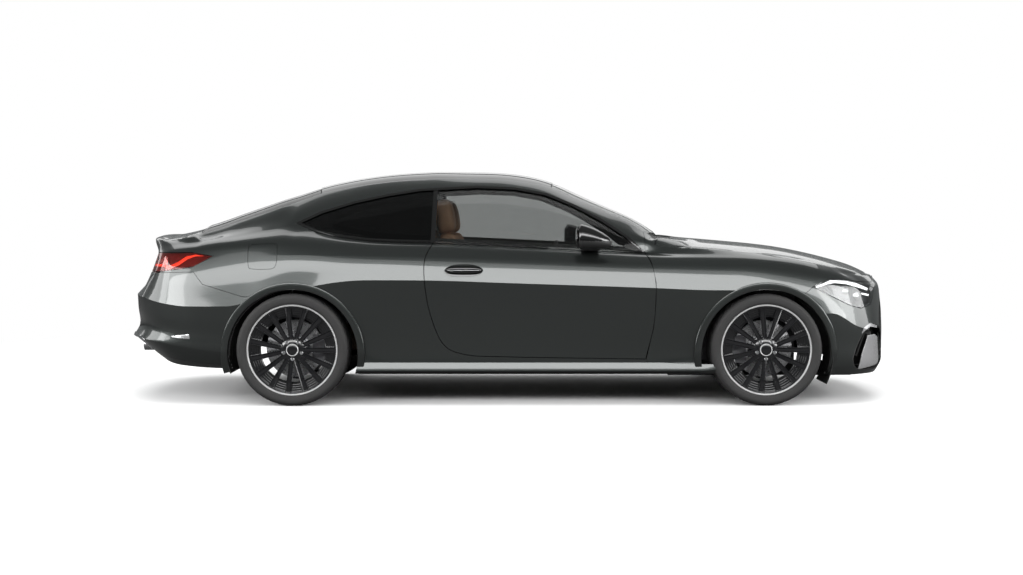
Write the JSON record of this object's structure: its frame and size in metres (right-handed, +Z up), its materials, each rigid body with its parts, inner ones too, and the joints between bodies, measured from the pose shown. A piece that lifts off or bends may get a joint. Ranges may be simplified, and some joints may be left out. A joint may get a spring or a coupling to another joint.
{
  "type": "two-door coupe car",
  "caption": "Low two-door coupe car with opening doors, bonnet and boot lid, steered front wheels and a furnished cabin.",
  "frame": {"origin": "on the ground under the middle of the car's length", "axes": "+X towards the nose, +Y to the car's left, +Z up"},
  "size_m": [4.8567, 2.04, 1.4341],
  "materials": {
    "paint": "metallic",
    "glass": "gloss",
    "dark_glass": "gloss",
    "clear_lens": "gloss",
    "red_lens": "gloss",
    "tyre": "matte",
    "rim": "gloss",
    "steel": "satin",
    "cast": "satin",
    "black_plastic": "satin",
    "gloss_black": "gloss",
    "chrome": "polished",
    "floor": "satin",
    "leather": "satin"
  },
  "bodies": {
    "car_body": {"front_wings": "paint", "front_bumper": "paint", "rear_bumper": "paint", "left_body_side": "paint", "right_body_side": "paint", "roof_panel": "dark_glass", "windscreen": "glass", "rear_window": "dark_glass", "quarter_windows": "dark_glass", "headlamps": "clear_lens", "tail_lamps": "red_lens", "grille": "chrome", "cowl_panel": "black_plastic", "front_axle": "steel", "rear_axle": "steel", "wheel_arch_liners": "black_plastic", "floor_pan": "floor", "bulkheads": "floor", "undertray": "black_plastic", "engine_block": "cast", "exhaust": "steel", "dashboard": "black_plastic", "centre_console": "black_plastic", "front_seats": "leather", "rear_bench": "leather", "wipers": "black_plastic"},
    "left_door_assembly": {"left_door": "paint", "left_door_window": "glass", "left_mirror": "gloss_black"},
    "right_door_assembly": {"right_door": "paint", "right_door_window": "glass", "right_mirror": "gloss_black"},
    "bonnet_lid": {"bonnet": "paint"},
    "boot_cover": {"boot_lid": "paint"},
    "front_left_carrier": {"front_left_knuckle": "cast"},
    "front_right_carrier": {"front_right_knuckle": "cast"},
    "steering": {"steering_wheel": "leather"},
    "front_left_wheel": {"front_left_tyre": "tyre", "front_left_rim": "rim"},
    "front_right_wheel": {"front_right_tyre": "tyre", "front_right_rim": "rim"},
    "rear_left_wheel": {"rear_left_tyre": "tyre", "rear_left_rim": "rim"},
    "rear_right_wheel": {"rear_right_tyre": "tyre", "rear_right_rim": "rim"}
  },
  "joints": [
    {"name": "left_door_hinge", "type": "hinge", "parent": "car_body", "child": "left_door_assembly", "pos_m": [0.887, 0.93, 0.6], "axis": [0, 0, -1], "range_deg": [0, 65]},
    {"name": "right_door_hinge", "type": "hinge", "parent": "car_body", "child": "right_door_assembly", "pos_m": [0.887, -0.93, 0.6], "axis": [0, 0, 1], "range_deg": [0, 65]},
    {"name": "bonnet_hinge", "type": "hinge", "parent": "car_body", "child": "bonnet_lid", "pos_m": [0.904, 0, 1.035], "axis": [0, -1, 0], "range_deg": [0, 50]},
    {"name": "boot_hinge", "type": "hinge", "parent": "car_body", "child": "boot_cover", "pos_m": [-1.93, 0, 1.09], "axis": [0, 1, 0], "range_deg": [0, 80]},
    {"name": "front_right_steer", "type": "hinge", "parent": "car_body", "child": "front_right_carrier", "pos_m": [1.56, -0.74, 0.339], "axis": [0, 0, 1], "range_deg": [-35, 35]},
    {"name": "front_left_steer", "type": "hinge", "parent": "car_body", "child": "front_left_carrier", "pos_m": [1.56, 0.74, 0.339], "axis": [0, 0, 1], "range_deg": [-35, 35]},
    {"name": "front_left_spin", "type": "hinge", "parent": "front_left_carrier", "child": "front_left_wheel", "pos_m": [1.56, 0.8, 0.339], "axis": [0, 1, 0], "continuous": true},
    {"name": "front_right_spin", "type": "hinge", "parent": "front_right_carrier", "child": "front_right_wheel", "pos_m": [1.56, -0.8, 0.339], "axis": [0, 1, 0], "continuous": true},
    {"name": "rear_left_spin", "type": "hinge", "parent": "car_body", "child": "rear_left_wheel", "pos_m": [-1.305, 0.8, 0.339], "axis": [0, 1, 0], "continuous": true},
    {"name": "rear_right_spin", "type": "hinge", "parent": "car_body", "child": "rear_right_wheel", "pos_m": [-1.305, -0.8, 0.339], "axis": [0, 1, 0], "continuous": true},
    {"name": "steering_turn", "type": "hinge", "parent": "car_body", "child": "steering", "pos_m": [0.26, 0.37, 0.8], "axis": [-0.9272, 0, 0.3746], "range_deg": [-490, 490]}
  ],
  "couplings": [
    {"joint": "front_left_steer", "follows": "front_right_steer", "ratio": 1},
    {"joint": "steering_turn", "follows": "front_right_steer", "ratio": 14}
  ]
}
